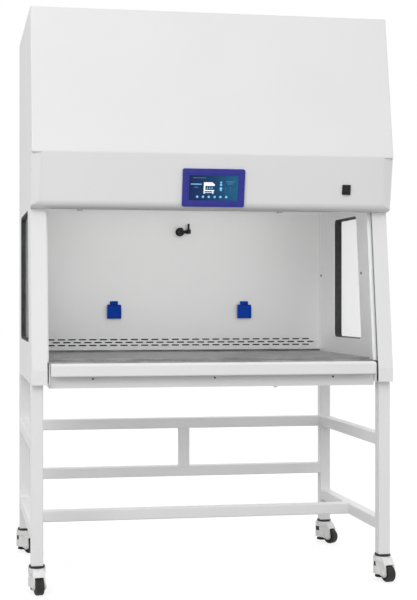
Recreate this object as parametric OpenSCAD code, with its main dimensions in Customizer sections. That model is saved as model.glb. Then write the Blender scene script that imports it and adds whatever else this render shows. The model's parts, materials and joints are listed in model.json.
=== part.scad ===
// Class II biosafety cabinet on a wheeled stand.
// The origin is on the floor, midway between the four caster stems.
// +X points right as the user sees the front, +Y to the back, +Z up. Sizes are in millimetres.

/* [Cabinet] */
// Outer width
cab_w = 1385; // [1150:5:1800]
// Height of the underside of the side walls above the floor
cab_base = 772; // [740:1:800]
// Distance from the rear face to the back of the stand
back_inset = 20; // [0:1:60]
// Thickness of a side wall, outside sheet to chamber liner
wall_t = 66; // [56:1:90]
// Width of the front edge of a side wall
edge_w = 58; // [50:1:66]
// Steel sheet
sheet = 2; // [1.5:0.5:3]
// How far the foot of a side wall leads the front legs
foot_lead = 31; // [15:1:50]
// Height of the upright foot of a side wall
foot_h = 52; // [40:1:65]
// Lean of the side walls' front edges, degrees
rake = 7.1; // [4:0.1:10]
// Gap between pieces that seat on each other
seat_gap = 0.2; // [0.1:0.05:0.4]

/* [Hood] */
// Height of the hood above its lower lip
hood_h = 754; // [720:2:860]
// Height of the hood's lower lip above the underside of the side walls
lip_up = 654; // [600:1:680]
// Height of the band with the controls
band_h = 206; // [190:1:230]
// How far the hood's nose leads the front legs
nose_lead = 38.5; // [25:0.5:60]
// Lean of the band, degrees
band_tilt = 10.2; // [8:0.1:14]
// Lean of the hood's face above the nose, degrees
face_tilt = 9; // [6:0.1:12]
// Bend radius at the nose
nose_r = 26; // [12:1:40]
// Bend radius of the lower lip
lip_r = 36; // [20:1:42]
// Thickness of the hood cover
cover_t = 2.5; // [2:0.5:4]
// Radius of the cover's upright bends
bend_r = 5; // [4:0.5:9]
// Depth of the cover's returns round the sides
return_d = 18; // [12:1:26]
// Width of an end cap on the band
cap_w = 36; // [24:1:50]
// How far an end cap falls back at its outer edge
cap_fall = 9; // [4:1:14]
// How much narrower an end cap's facet is at its foot
cap_taper = 11; // [0:1:20]

/* [Controls] */
// Sideways place of the display
display_x = -10; // [-60:1:60]
// Width of the display bezel
bezel_w = 238; // [200:1:300]
// Height of the display bezel
bezel_h = 143; // [120:1:150]
// How far the bezel stands proud
bezel_t = 9; // [6:1:14]
// Width of the screen
screen_w = 188; // [150:1:190]
// Height of the screen
screen_h = 93; // [80:1:100]
// Distance from the nose down to the middle of the display
display_down = 127; // [110:1:128]
// Sideways place of the mains switch
switch_x = 510; // [420:1:540]
// Width of the mains switch
switch_w = 32; // [26:1:40]
// Height of the mains switch
switch_h = 38; // [34:1:46]
// Throw of the rocker, degrees
rocker_throw = 16; // [10:1:18]

/* [Chamber] */
// Depth of the plenum behind the rear wall
plenum_d = 74; // [60:1:110]
// Height of the work surface above the underside of the side walls
work_up = 90; // [84:1:96]
// Height of the diffuser above the underside of the side walls
ceiling_up = 728; // [715:1:745]
// Length of a slot in the rear wall
slot_l = 32; // [20:1:36]
// Height of a slot in the rear wall
slot_h = 5.5; // [4:0.5:8]
// Spacing of the slots along a row
slot_pitch = 45; // [40:1:60]
// Spacing of the rows of slots
slot_row = 12.3; // [10:0.1:15]
// Height of the lowest row above the work surface
slot_up = 28; // [20:1:40]

/* [Sill] */
// Height of the armrest above the underside of the side walls
arm_up = 78; // [74:1:80]
// Height of the armrest's face
arm_h = 49; // [36:1:52]
// How far the armrest leads the front legs
arm_lead = 38; // [32:1:60]
// How far the drain pan hangs below the side walls
pan_drop = 12; // [4:1:20]
// Width of the front intake grille
grille_d = 49; // [40:1:60]

/* [Windows] */
// Distance from a wall's front edge to its window
win_front = 154; // [130:1:200]
// Rear edge of the window, measured from the middle of the stand
win_rear = 94; // [60:1:110]
// How much further back the outer pane reaches
win_back = 150; // [0:5:160]
// Height of the window's sill above the underside of the side walls
win_low = 152; // [140:1:200]
// Height of the window
win_h = 506; // [400:1:516]
// Corner radius of the window
win_r = 24; // [12:1:40]
// Thickness of the windows' gaskets
gasket_t = 6; // [5:1:10]
// Depth of the gasket round an inner pane
inner_deep = 32; // [20:1:34]
// Depth of the gasket round an outer pane
outer_deep = 20; // [16:1:22]
// How deep the panes lie in the gaskets, from the chamber and from outside
inner_sink = 24; // [4:1:26]
outer_sink = 11; // [4:1:14]
// Thickness of a window pane
pane_t = 5; // [4:0.5:6]

/* [Sash] */
// Thickness of the sash glass
glass_t = 6; // [5:0.5:7]
// Height of the sash glass
glass_h = 600; // [590:1:620]
// Travel of the sash
sash_travel = 573; // [540:1:575]
// How far the glass runs into its guides
glass_grip = 9; // [6:0.5:10]

/* [Stand] */
// Outer depth of the stand
stand_d = 780; // [740:5:860]
// Side of a leg tube
leg = 45; // [40:1:50]
// Side of an upper rail tube
rail = 45; // [30:1:45]
// Side of a lower rail tube
low_rail = 44; // [36:1:45]
// Wall of the tubes
tube_t = 2.5; // [1.5:0.5:4]
// Height of the middle of the upper rails
upper_z = 545.5; // [520:1:600]
// Height of the middle of the middle rail
middle_z = 335.5; // [310:1:370]
// Height of the middle of the lower rails
lower_z = 217.5; // [190:1:250]
// Sideways place of the upright between the two rear rails
strut_x = 28.5; // [-80:1:80]

/* [Levelling casters] */
// Height of a caster
caster_h = 104; // [104:1:122]
// Height of a caster's top ring
ring_h = 9; // [7:1:12]
// Wheel diameter
wheel_d = 63; // [58:1:66]
// Wheel width
wheel_w = 30; // [24:1:32]
// Distance from the swivel axis back to the axle
trail = 38; // [36:1:42]
// Radius of the top ring
ring_r = 30.5; // [28:0.5:36]
// Radius of the kingpin
pin_r = 9; // [7:0.5:10]
// Radius of an axle
axle_r = 5; // [4:0.5:6]
// Running clearance of the wheels and swivels
run = 0.06; // [0.02:0.01:0.1]
// Radius of a foot pad
pad_r = 21; // [18:0.5:22]
// Distance from the swivel axis forward to the foot's screw
foot_off = 14; // [13:0.5:16]
// Height of the raised pads above the floor
pad_lift = 10; // [6:0.5:11]
// Radius of the levelling dial
dial_r = 26; // [24:0.5:27]
// Radius of the levelling screw
screw_r = 7; // [5:0.5:8]
// Swivel of the front left caster at rest, degrees
swivel_fl = 8; // [-180:1:180]
// Swivel of the front right caster at rest, degrees
swivel_fr = 14; // [-180:1:180]
// Swivel of the rear left caster at rest, degrees
swivel_rl = 34; // [-180:1:180]
// Swivel of the rear right caster at rest, degrees
swivel_rr = 32; // [-180:1:180]

/* [Services] */
// Distance of a socket from the middle of the pair
socket_x = 287; // [200:1:400]
// Sideways place of the middle of the pair
socket_mid = -5; // [-60:1:60]
// Height of the sockets' hinges above the work surface
socket_up = 206; // [150:1:300]
// Width of a socket cover
socket_w = 60; // [50:1:80]
// Height of a socket cover
socket_h = 62; // [50:1:80]
// Sideways place of the service tap
tap_x = -3; // [-200:1:200]
// Distance from the ceiling of the chamber down to the service tap
tap_down = 120; // [90:1:300]
// Radius of the tap's hose tip
tip_r = 4; // [3:0.5:6]
// Distance from the side of the cabinet in to the power inlet
inlet_in = 172; // [80:1:300]
// Distance from the top down to the power inlet
inlet_down = 130; // [60:1:300]
// Distance from the right side wall in to the drain valve
drain_in = 196; // [120:1:400]
// Radius of the drain outlet
drain_r = 9; // [7:0.5:12]

/* [Air handling] */
// Height of the supply filter
filter_h = 90; // [60:1:100]
// Height of the plenum box
plenum_h = 150; // [110:1:160]
// Room between the blower's scroll and what lies above and below it
scroll_gap = 10; // [4:1:30]
// Room between the blower wheel and its scroll
wheel_gap = 21; // [10:1:30]
// Height of the exhaust filter
exhaust_h = 90; // [60:1:120]
// Width of the blower wheel
impeller_w = 170; // [120:1:180]
// Number of blower blades
blades = 30; // [16:1:36]
// Length of the work lamp
lamp_l = 1100; // [900:10:1120]
// Length of the germicidal tube
uv_l = 880; // [600:10:1000]

/* [Hidden] */

$fn = 48;

// Colours
white = [0.93, 0.93, 0.93];
grey_white = [0.83, 0.83, 0.84];
steel = [0.72, 0.73, 0.74];
black = [0.06, 0.06, 0.07];
clear = [0.75, 0.85, 0.88, 0.35];

// Plan
half_w = cab_w / 2;
in_x = half_w - wall_t;                 // chamber side of a liner
edge_x = half_w - edge_w;               // inner side of a wall's front edge
drain_x = in_x - drain_in;
front_y = -stand_d / 2;                 // front of the front legs
back_y = stand_d / 2 - back_inset;      // rear face of the cabinet
rear_y = back_y - sheet - plenum_d;     // chamber side of the rear wall

// Side profile, as points [y, z]
foot_y = front_y - foot_lead;
knee_z = cab_base + foot_h;
lip_z = cab_base + lip_up;
cab_top = lip_z + hood_h;
nose_z = lip_z + band_h;
nose_y = front_y - nose_lead;
face_top_z = cab_top - sheet;
face_top_y = nose_y + (cab_top - nose_z) * tan(face_tilt);
function edge_y(z) = foot_y + max(0, z - knee_z) * tan(rake);
function band_y(z) = nose_y + (nose_z - z) * tan(band_tilt);

// Chamber heights
work_z = cab_base + work_up;
arm_z = cab_base + arm_up;
ceiling_z = cab_base + ceiling_up;
ledge_z = arm_z - 8;                    // ledges that carry the tray and the grille
pan_z = cab_base - pan_drop;
liner_top = ceiling_z + 18;
filter_top = liner_top + seat_gap + filter_h;
plenum_top = filter_top + seat_gap + plenum_h;

// Sash frame: its origin is the knee of the front edge, and its z runs up the rake
guide_w = 14;
guide_d = 34;
guide_y = sheet + seat_gap;             // front of a guide behind the front edge
guide_low = 30;
slot_clear = 1;                         // each side of the glass
glass_y = guide_y + 8 - glass_t / 2;
sash_tuck = 14;                         // rest height of the glass above the hood's lip
glass_low = (lip_z + sash_tuck - knee_z) / cos(rake);
guide_len = glass_low + glass_h + 22 - guide_low;
guide_back = guide_y + guide_d;
liner_front = guide_back / cos(rake) + seat_gap;
handle_drop = 10;
handle_up = 15;

// Casters: the levelling screw stands across the swivel axis from the wheel
caster_x = half_w - leg / 2;
caster_y = stand_d / 2 - leg / 2;
wheel_r = wheel_d / 2;
ring_z = caster_h - ring_h;
swivel_gap = 0.3;
fork_top = ring_z - swivel_gap;
cheek_gap = 1.5;
cheek_in = wheel_w / 2 + cheek_gap;
cheek_t = 6;
dial_z = 54;
dial_h = 18;
dial_gap = 0.6;

// Air handling
blower_y = 20;
guard_t = 4;
exhaust_low = face_top_z - guard_t - 2 * seat_gap - exhaust_h;
scroll_r = (exhaust_low - plenum_top) / 2 - scroll_gap;
scroll_wall = 3;
scroll_w = impeller_w + 30;
impeller_r = scroll_r - scroll_wall - wheel_gap;
blower_z = plenum_top + scroll_gap + scroll_r;
exhaust_x = 300;
exhaust_y0 = -160;
exhaust_y1 = 290;
shaft_r = 8;

function unit(v) = v / norm(v);
function turn(a) = a > 180 ? a - 360 : a < -180 ? a + 360 : a;
// Points of the arc that rounds corner b between a and c
function fillet(a, b, c, r, n = 8) =
  let (u = unit(a - b), v = unit(c - b), h = acos(u * v) / 2,
       o = b + unit(u + v) * r / sin(h),
       s = b + u * r / tan(h) - o, e = b + v * r / tan(h) - o,
       a0 = atan2(s[1], s[0]), da = turn(atan2(e[1], e[0]) - a0))
  [for (i = [0:n]) o + r * [cos(a0 + da * i / n), sin(a0 + da * i / n)]];
// A path moved by t to the left of its direction, with mitred corners
function left_of(v) = [-v[1], v[0]];
function shifted(p, t) = [for (i = [0:len(p) - 1])
  let (n1 = left_of(unit(p[max(i, 1)] - p[max(i, 1) - 1])),
       n2 = left_of(unit(p[min(i + 1, len(p) - 1)] - p[min(i, len(p) - 2)])))
  p[i] + (n1 + n2) / (1 + n1 * n2) * t];
function reversed(p) = [for (i = [len(p) - 1:-1:0]) p[i]];
function strip(p, t) = concat(p, reversed(shifted(p, t)));

// Outer line of the hood cover, from the top edge down to the lip's rear end
top_pt = [face_top_y, face_top_z];
nose_pt = [nose_y, nose_z];
heel_pt = [band_y(lip_z), lip_z];
lip_pt = [edge_y(lip_z), lip_z];
face_line = concat([top_pt], fillet(top_pt, nose_pt, heel_pt, nose_r, 6));
// The returns end a little below the top edge
return_line = concat([top_pt - [sin(face_tilt), cos(face_tilt)]], [for (i = [1:len(face_line) - 1]) face_line[i]]);
band_line = concat([face_line[len(face_line) - 1]],
                   fillet(nose_pt, heel_pt, [heel_pt[0] + 200, lip_z], lip_r, 10),
                   [[lip_pt[0] - 0.5, lip_z]]);
cover_line = concat(face_line, [for (i = [1:len(band_line) - 1]) band_line[i]]);

// Corners of a window, from rear bottom round to front bottom, then rounded and grown by e;
// back moves the rear edge
win_z0 = cab_base + win_low;
win_z1 = win_z0 + win_h;
function win_corners(e, back) =
  let (f = e / cos(rake), y = win_rear + back + e)
  [[y, win_z0 - e], [y, win_z1 + e],
   [edge_y(win_z1 + e) + win_front - f, win_z1 + e],
   [edge_y(win_z0 - e) + win_front - f, win_z0 - e]];
function win_line(e, back = 0) =
  let (c = win_corners(e, back))
  [for (i = [0:3]) each fillet(c[(i + 3) % 4], c[i], c[(i + 1) % 4], max(win_r + e, 3), 6)];

// Extrudes a [y, z] shape along X, centred on x
module along_x(w, x = 0) { translate([x, 0, 0]) rotate([90, 0, 90]) linear_extrude(w, center = true) children(); }
// Cylinder along X from x0 to x1
module rod_x(r, x0, x1) { translate([x0, 0, 0]) rotate([0, 90, 0]) cylinder(r = r, h = x1 - x0); }
// Box between two corners
module box(a, b) { translate(a) cube(b - a); }
module rounded(w, h, r) {
  square([w - 2 * r, h], center = true);
  square([w, h - 2 * r], center = true);
  for (x = [-1, 1], y = [-1, 1]) translate([x * (w / 2 - r), y * (h / 2 - r)]) circle(r);
}
// Slot lying along x, seen as a 2D shape
module slot(l, h) {
  square([l - h, h], center = true);
  for (s = [-1, 1]) translate([s * (l - h) / 2, 0]) circle(h / 2, $fn = 24);
}
// Square tube standing on the plane, side s and length l
module tube(s, l) {
  linear_extrude(l) difference() {
    rounded(s, s, tube_t + 1.5);
    rounded(s - 2 * tube_t, s - 2 * tube_t, 1.5);
  }
}
module tube_x(s, x0, x1) { translate([x0, 0, 0]) rotate([0, 90, 0]) tube(s, x1 - x0); }
module tube_y(s, y0, y1) { translate([0, y0, 0]) rotate([-90, 0, 0]) tube(s, y1 - y0); }
module on_band(x, down) { translate([x, nose_y, nose_z]) rotate([band_tilt, 0, 0]) translate([0, 0, -down]) children(); }
// Frame of the hood's face: its origin is on the nose, and its z runs up the face
module on_face() { translate([0, nose_y, nose_z]) rotate([-face_tilt, 0, 0]) children(); }
module on_rake() { translate([0, foot_y, knee_z]) rotate([-rake, 0, 0]) children(); }
module mirrored() { children(); mirror([1, 0, 0]) children(); }

/* ---- Stand ---- */
weld = 0.1;                             // gap between welded tubes, so that each stays a solid of its own
stem_r = 6;
plug_t = 5;

module stand_legs() color(white)
  for (x = [-1, 1], y = [-1, 1]) translate([x * caster_x, y * caster_y, caster_h]) {
    difference() {
      union() {
        tube(leg, cab_base - caster_h);
        linear_extrude(plug_t) rounded(leg - tube_t, leg - tube_t, 2);
      }
      translate([0, 0, -1]) cylinder(r = stem_r + seat_gap, h = plug_t + 2);
    }
  }

module stand_rails() color(white) {
  run_y = stand_d / 2 - leg - weld;
  run_x = half_w - leg - weld;
  for (x = [-1, 1]) {
    translate([x * caster_x, 0, upper_z]) tube_y(rail, -run_y, run_y);
    translate([x * caster_x, 0, lower_z]) tube_y(low_rail, -run_y, run_y);
  }
  for (z = [upper_z, middle_z]) translate([0, caster_y, z]) tube_x(rail, -run_x, run_x);
  cross_x = caster_x - low_rail / 2 - weld;
  translate([0, 0, lower_z]) tube_x(low_rail, -cross_x, cross_x);
  translate([strut_x, caster_y, middle_z + rail / 2 + weld])
    tube(rail, upper_z - middle_z - rail - 2 * weld);
}

/* ---- Levelling casters ---- */
stem_up = 38;
nut_h = 9;
pin_deep = 16;                          // how far the kingpin reaches into the fork
well_z = wheel_d + 2.5;                 // roof of the wheel well

module caster_stems() color(black)
  for (x = [-1, 1], y = [-1, 1]) translate([x * caster_x, y * caster_y, 0]) {
    rotate_extrude() polygon([
      [0, ring_z - pin_deep], [pin_r - 1, ring_z - pin_deep], [pin_r, ring_z - pin_deep + 1], [pin_r, ring_z],
      [ring_r - 3, ring_z], [ring_r, ring_z + 3], [ring_r, caster_h - 2],
      [ring_r - 2, caster_h - weld], [stem_r, caster_h - weld], [stem_r, caster_h + stem_up],
      [0, caster_h + stem_up]]);
    translate([0, 0, caster_h + plug_t + seat_gap]) cylinder(r = 10, h = nut_h, $fn = 6);
  }

// Side outline of a cheek, with the trail towards -y
module cheek_shape() {
  circle_z = wheel_r;
  translate([-trail, circle_z]) circle(14);
  polygon([[-trail - 13.2, circle_z + 4], [-trail - 9, well_z + 1], [-31, fork_top - 4], [-12, fork_top - 2],
           [20, fork_top - 2], [30, 74], [30, 26], [-4, 26], [-trail + 9, circle_z - 11]]);
}
module caster_fork() color(steel) {
  difference() {
    union() {
      translate([0, 0, fork_top - 20]) cylinder(r = ring_r + 2, h = 20);
      translate([0, 8, 25]) cylinder(r = 31, h = fork_top - 27);
      for (s = [-1, 1]) along_x(cheek_t, s * (cheek_in + cheek_t / 2)) cheek_shape();
      // brow over the wheel
      along_x(2 * cheek_in + cheek_t) polygon([[-trail - 9, well_z + 0.1], [-31, fork_top - 4], [0, fork_top - 4], [0, well_z + 0.1]]);
    }
    // wheel pocket, kingpin bore, axle bore
    translate([0, -trail, wheel_r]) rod_x(wheel_r + 2.5, -cheek_in, cheek_in);
    box([-cheek_in, -trail - 60, -1], [cheek_in, -trail, well_z]);
    translate([0, 0, ring_z - pin_deep - 1]) cylinder(r = pin_r + run, h = 30);
    translate([0, -trail, wheel_r]) rod_x(axle_r + run, -60, 60);
    // dial chamber with its windows, and the screw's bore
    translate([0, foot_off, dial_z - dial_gap]) cylinder(r = dial_r + 1, h = dial_h + 2 * dial_gap);
    box([-60, foot_off - 12, dial_z - dial_gap], [60, foot_off + 16, dial_z + dial_h + dial_gap]);
    translate([0, foot_off, -1]) cylinder(r = screw_r + 0.4, h = dial_z + dial_h + 5);
  }
  // axle with two heads, held in the cheeks
  translate([0, -trail, wheel_r]) {
    rod_x(axle_r, -cheek_in - cheek_t - 0.1, cheek_in + cheek_t + 0.1);
    for (s = [0, 1]) mirror([s, 0, 0])
      translate([cheek_in + cheek_t + 0.1, 0, 0]) rod_x(axle_r + 3, 0, 3);
  }
}
module caster_wheel() color(black)
  translate([0, -trail, wheel_r]) rotate([0, 90, 0])
    rotate_extrude($fn = 96) polygon([
      [axle_r + run, -wheel_w / 2], [axle_r + 6, -wheel_w / 2], [axle_r + 8, -wheel_w / 2 + 3],
      [wheel_r - 9, -wheel_w / 2 + 3], [wheel_r - 7, -wheel_w / 2], [wheel_r - 3, -wheel_w / 2],
      [wheel_r, -wheel_w / 2 + 4], [wheel_r, wheel_w / 2 - 4], [wheel_r - 3, wheel_w / 2],
      [wheel_r - 7, wheel_w / 2], [wheel_r - 9, wheel_w / 2 - 3], [axle_r + 8, wheel_w / 2 - 3],
      [axle_r + 6, wheel_w / 2], [axle_r + run, wheel_w / 2]]);
module caster_foot() color(black)
  translate([0, foot_off, 0]) rotate_extrude() polygon([
    [0, pad_lift], [pad_r - 1, pad_lift], [pad_r, pad_lift + 1], [pad_r, pad_lift + 6],
    [pad_r - 3, pad_lift + 9], [screw_r + 5, pad_lift + 11], [screw_r, pad_lift + 14],
    [screw_r, dial_z + dial_h + 2], [0, dial_z + dial_h + 2]]);
module caster_dial() color(black)
  translate([0, foot_off, dial_z]) difference() {
    cylinder(r = dial_r, h = dial_h);
    translate([0, 0, -1]) cylinder(r = screw_r + run, h = dial_h + 2);
    for (i = [0:15]) rotate([0, 0, i * 22.5]) translate([dial_r + 1, 0, -1]) cylinder(r = 2.6, h = dial_h + 2, $fn = 16);
  }
module at_caster(x, y, a) { translate([x * caster_x, y * caster_y, 0]) rotate([0, 0, a]) children(); }

/* ---- Cabinet shell ---- */
// Outline of a side sheet: the foot, the raked edge, then just behind the hood's return
side_hood = shifted(cover_line, return_d + seat_gap);
side_top_z = face_top_z - seat_gap;
side_outline = concat(
  [[back_y, cab_base], [back_y, side_top_z]],
  [[side_hood[0][0] + (side_top_z - side_hood[0][1]) * tan(face_tilt), side_top_z]],
  [for (i = [1:len(side_hood) - 3]) side_hood[i]],
  [[edge_y(lip_z + return_d) + 2, lip_z + return_d + seat_gap], [edge_y(lip_z - seat_gap), lip_z - seat_gap],
   [foot_y, knee_z], [foot_y, cab_base]]);

module side_panel() color(white) {
  difference() {
    along_x(sheet, half_w - sheet / 2) polygon(side_outline);
    along_x(20, half_w) polygon(win_line(seat_gap, win_back));
  }
  flange_w = edge_w - sheet;
  along_x(flange_w, edge_x + flange_w / 2)
    polygon(strip([[edge_y(lip_z - seat_gap), lip_z - seat_gap], [foot_y, knee_z], [foot_y, cab_base], [back_y - sheet - seat_gap, cab_base]], sheet));
}
module side_panel_left() mirror([1, 0, 0]) side_panel();
module side_panel_right() side_panel();

// A liner, with the return that closes the step to the sash guide
module side_liners() color(steel) mirrored() {
  difference() {
    along_x(sheet, in_x + sheet / 2) polygon([
      [foot_y + sheet + 4, cab_base + sheet + seat_gap], [back_y - sheet - seat_gap, cab_base + sheet + seat_gap],
      [back_y - sheet - seat_gap, liner_top],
      [edge_y(liner_top) + liner_front, liner_top],
      [edge_y(knee_z + guide_low - 6) + liner_front, knee_z + guide_low - 6],
      [foot_y + sheet + 4, knee_z + guide_low - 10]]);
    along_x(20, in_x) polygon(win_line(-gasket_t));
  }
  on_rake() box([in_x + sheet / 2, guide_back + seat_gap, guide_low + 4],
                [edge_x + guide_w, guide_back + seat_gap + sheet, (liner_top - knee_z) / cos(rake) - 8]);
}
// A gasket between x0 and x1, with a groove 3 deep for the pane whose near face is at x2
module gasket(x0, x1, x2, back) difference() {
  along_x(x1 - x0, (x0 + x1) / 2) polygon(win_line(0, back));
  along_x(x1 - x0 + 2, (x0 + x1) / 2) polygon(win_line(-gasket_t, back));
  along_x(pane_t + 2 * seat_gap, x2 + pane_t / 2) polygon(win_line(3 - gasket_t + seat_gap, back));
}
inner_x0 = in_x + sheet + seat_gap;
inner_pane_x = inner_x0 + inner_sink;
outer_pane_x = half_w - outer_sink - pane_t;
module window_gaskets() color(black) mirrored() {
  gasket(inner_x0, in_x + inner_deep, inner_pane_x, 0);
  gasket(half_w - outer_deep, half_w, outer_pane_x, win_back);
}
module window_panes() color(clear) mirrored() {
  along_x(pane_t, inner_pane_x + pane_t / 2) polygon(win_line(3 - gasket_t));
  along_x(pane_t, outer_pane_x + pane_t / 2) polygon(win_line(3 - gasket_t, win_back));
}

inlet_x = half_w - inlet_in;
inlet_z = cab_top - inlet_down;
well_w = 24;                            // well of the power inlet
well_h = 17;
module at_inlet() { translate([inlet_x, back_y, inlet_z]) rotate([-90, 0, 0]) children(); }
module back_panel() color(white) difference() {
  box([-half_w + sheet + seat_gap, back_y - sheet, cab_base], [half_w - sheet - seat_gap, back_y, face_top_z - seat_gap]);
  at_inlet() translate([0, 0, -sheet - 1]) linear_extrude(sheet + 2) square([well_w + 4, well_h + 4], center = true);
}
module power_inlet() color(black) at_inlet() {
  difference() {
    union() {
      translate([0, 0, seat_gap]) linear_extrude(3) rounded(well_w + 26, well_h + 15, 5);
      translate([0, 0, -26]) linear_extrude(27) square([well_w + 3.5, well_h + 3.5], center = true);
    }
    translate([0, 0, -23]) linear_extrude(40) rounded(well_w, well_h, 3);
  }
  // earth pin in the middle, set off from the other two
  for (i = [-1:1]) translate([i * 7, i == 0 ? -2.5 : 2.5, -24]) linear_extrude(18) square([2, 5], center = true);
}

exhaust_open_x = exhaust_x - 22;
exhaust_open_y0 = exhaust_y0 + 22;
exhaust_open_y1 = exhaust_y1 - 22;
module top_panel() color(white) difference() {
  box([-half_w, face_top_y, face_top_z], [half_w, back_y, cab_top]);
  bends();
  box([-exhaust_open_x, exhaust_open_y0, face_top_z - 1], [exhaust_open_x, exhaust_open_y1, cab_top + 1]);
}

/* ---- Hood ---- */
// What the upright bends leave outside them
module bends() mirrored() on_face() translate([half_w - bend_r, bend_r, -4 * nose_r]) difference() {
  translate([0, -2 * bend_r, 0]) cube([2 * bend_r, 2 * bend_r, 2 * hood_h]);
  // a hair wider, so that the bend crosses both sheets cleanly
  translate([0, 0, -1]) cylinder(r = bend_r + 0.02, h = 2 * hood_h + 2);
}
module hood_cover() color(white) difference() {
  union() {
    along_x(cab_w) polygon(strip(face_line, cover_t));
    along_x(cab_w - 2 * cap_w - 2 * seat_gap) polygon(strip(band_line, cover_t));
    // returns round the sides
    mirrored() along_x(cover_t, half_w - cover_t / 2) polygon(strip(return_line, return_d));
  }
  bends();
}
module hood_end_caps() color(white) mirrored() difference() {
  along_x(cap_w, half_w - cap_w / 2)
    polygon(strip(concat([band_line[0] - [0, 1]], [for (i = [1:len(band_line) - 1]) band_line[i]]), return_d));
  // the facet that falls back towards the outer edge and narrows towards its foot
  on_band(half_w - cap_w, 0) rotate([-atan(cap_fall / cap_w * cap_taper / band_h), 0, atan(cap_fall / cap_w)])
    translate([-5, -80, -band_h - 80]) cube([cap_w * 2, 80, band_h + 160]);
}

/* ---- Controls ---- */
module display_bezel() color([0.26, 0.25, 0.62]) on_band(display_x, display_down) difference() {
  translate([0, -seat_gap, 0]) rotate([90, 0, 0]) linear_extrude(bezel_t) rounded(bezel_w, bezel_h, 7);
  translate([0, -bezel_t + 3, 0]) rotate([90, 0, 0]) linear_extrude(20) rounded(screen_w, screen_h, 2);
}
module display_screen() color([0.03, 0.07, 0.14]) on_band(display_x, display_down)
  translate([0, -bezel_t + 3 - seat_gap / 2, 0]) rotate([90, 0, 0])
    linear_extrude(1.8) rounded(screen_w - 2 * seat_gap, screen_h - 2 * seat_gap, 1.8);

frame_t = 6;
pivot_in = 3.4;                         // rocker pivot in front of the band
pivot_r = 1.2;
module switch_frame() color(black) on_band(switch_x, display_down) difference() {
  translate([0, -seat_gap, 0]) rotate([90, 0, 0]) linear_extrude(frame_t) rounded(switch_w, switch_h, 2);
  translate([0, -1.2, 0]) rotate([90, 0, 0]) linear_extrude(20) square([switch_w - 8, switch_h - 8], center = true);
  translate([0, -pivot_in, 0]) rod_x(pivot_r + run, -switch_w / 2 + 2, switch_w / 2 - 2);
}
// The rocker turns on a pin across its middle, and rests with its lower end pressed
module switch_rocker() color([0.1, 0.1, 0.11]) on_band(switch_x, display_down)
  translate([0, -pivot_in, 0]) rotate([-rocker_throw / 2, 0, 0]) {
    h = (switch_h - 10) / 2;
    along_x(switch_w - 9) polygon([[-1, -h], [-4.6, -h], [-3.2, 0], [-4.6, h], [-1, h], [1.4, 2], [1.4, -2]]);
    rod_x(pivot_r, -switch_w / 2 + 2.2, switch_w / 2 - 2.2);
  }

/* ---- Chamber ---- */
slots_n = floor((2 * in_x - 70) / slot_pitch);
module rear_wall() color(steel) difference() {
  box([-in_x + seat_gap, rear_y, work_z + 4], [in_x - seat_gap, rear_y + sheet, liner_top]);
  for (row = [0:2], i = [0:slots_n - 1]) {
    x = (i - (slots_n - 1) / 2 + (row == 1 ? 0.5 : 0)) * slot_pitch;
    if (abs(x) + slot_l / 2 < in_x - 12)
      translate([x, rear_y + sheet + 1, work_z + slot_up + row * slot_row])
        rotate([90, 0, 0]) linear_extrude(sheet + 2) slot(slot_l, slot_h);
  }
}
tray_x = in_x - 1.5;
grille_y0 = front_y + 4.5;
grille_y1 = grille_y0 + grille_d;
module work_surface() color(steel) difference() {
  union() {
    difference() {
      box([-tray_x, grille_y1 + 0.5, ledge_z + seat_gap], [tray_x, rear_y - seat_gap, work_z]);
      box([-tray_x + sheet, grille_y1 + 0.5 + sheet, ledge_z - 1], [tray_x - sheet, rear_y - seat_gap - sheet, work_z - sheet]);
    }
    box([-tray_x, rear_y - seat_gap - 14, work_z - 0.01], [tray_x, rear_y - seat_gap, work_z + 8]);
    box([-tray_x, grille_y1 + 0.5, work_z - 0.01], [tray_x, grille_y1 + 4.5, work_z + 3]);
  }
  // sloped rear upstand
  translate([0, rear_y - seat_gap - 14, work_z]) rotate([30, 0, 0]) translate([-tray_x - 1, -20, 0]) cube([2 * tray_x + 2, 30, 20]);
}
grille_z = arm_z + 6;
grille_n = floor((2 * tray_x - 40) / 26);
module front_grille() color(steel) difference() {
  box([-tray_x, grille_y0, ledge_z + seat_gap], [tray_x, grille_y1, grille_z]);
  box([-tray_x + sheet, grille_y0 + sheet, ledge_z - 1], [tray_x - sheet, grille_y1 - sheet, grille_z - sheet]);
  for (row = [0:2], i = [0:grille_n - 1])
    translate([(i - (grille_n - 1) / 2) * 26, grille_y0 + grille_d * (row + 1) / 4, grille_z - sheet - 1])
      linear_extrude(sheet + 2) slot(19, 5.4);
}
module armrest() color(white) {
  y0 = front_y - arm_lead;
  top = [grille_y0 - 0.5, arm_z];
  nose = [y0, arm_z];
  low = [y0, arm_z - arm_h];
  path = concat([top], fillet(top, nose, low, 9, 6), fillet(nose, low, [y0 + 20, low[1]], 6, 5), [[y0 + 20, low[1]]]);
  intersection() {
    along_x(2 * arm_x) polygon(strip(path, sheet + 0.5));
    translate([0, 0, arm_z - arm_h / 2]) rotate([90, 0, 0])
      linear_extrude(2000, center = true) union() {
        rounded(2 * arm_x, arm_h, 9);
        translate([-arm_x, 0]) square([2 * arm_x, arm_h / 2]);
      }
  }
}
arm_x = tray_x - 3;
pan_x = in_x - seat_gap;
pan_front = front_y + seat_gap + sheet;
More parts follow.
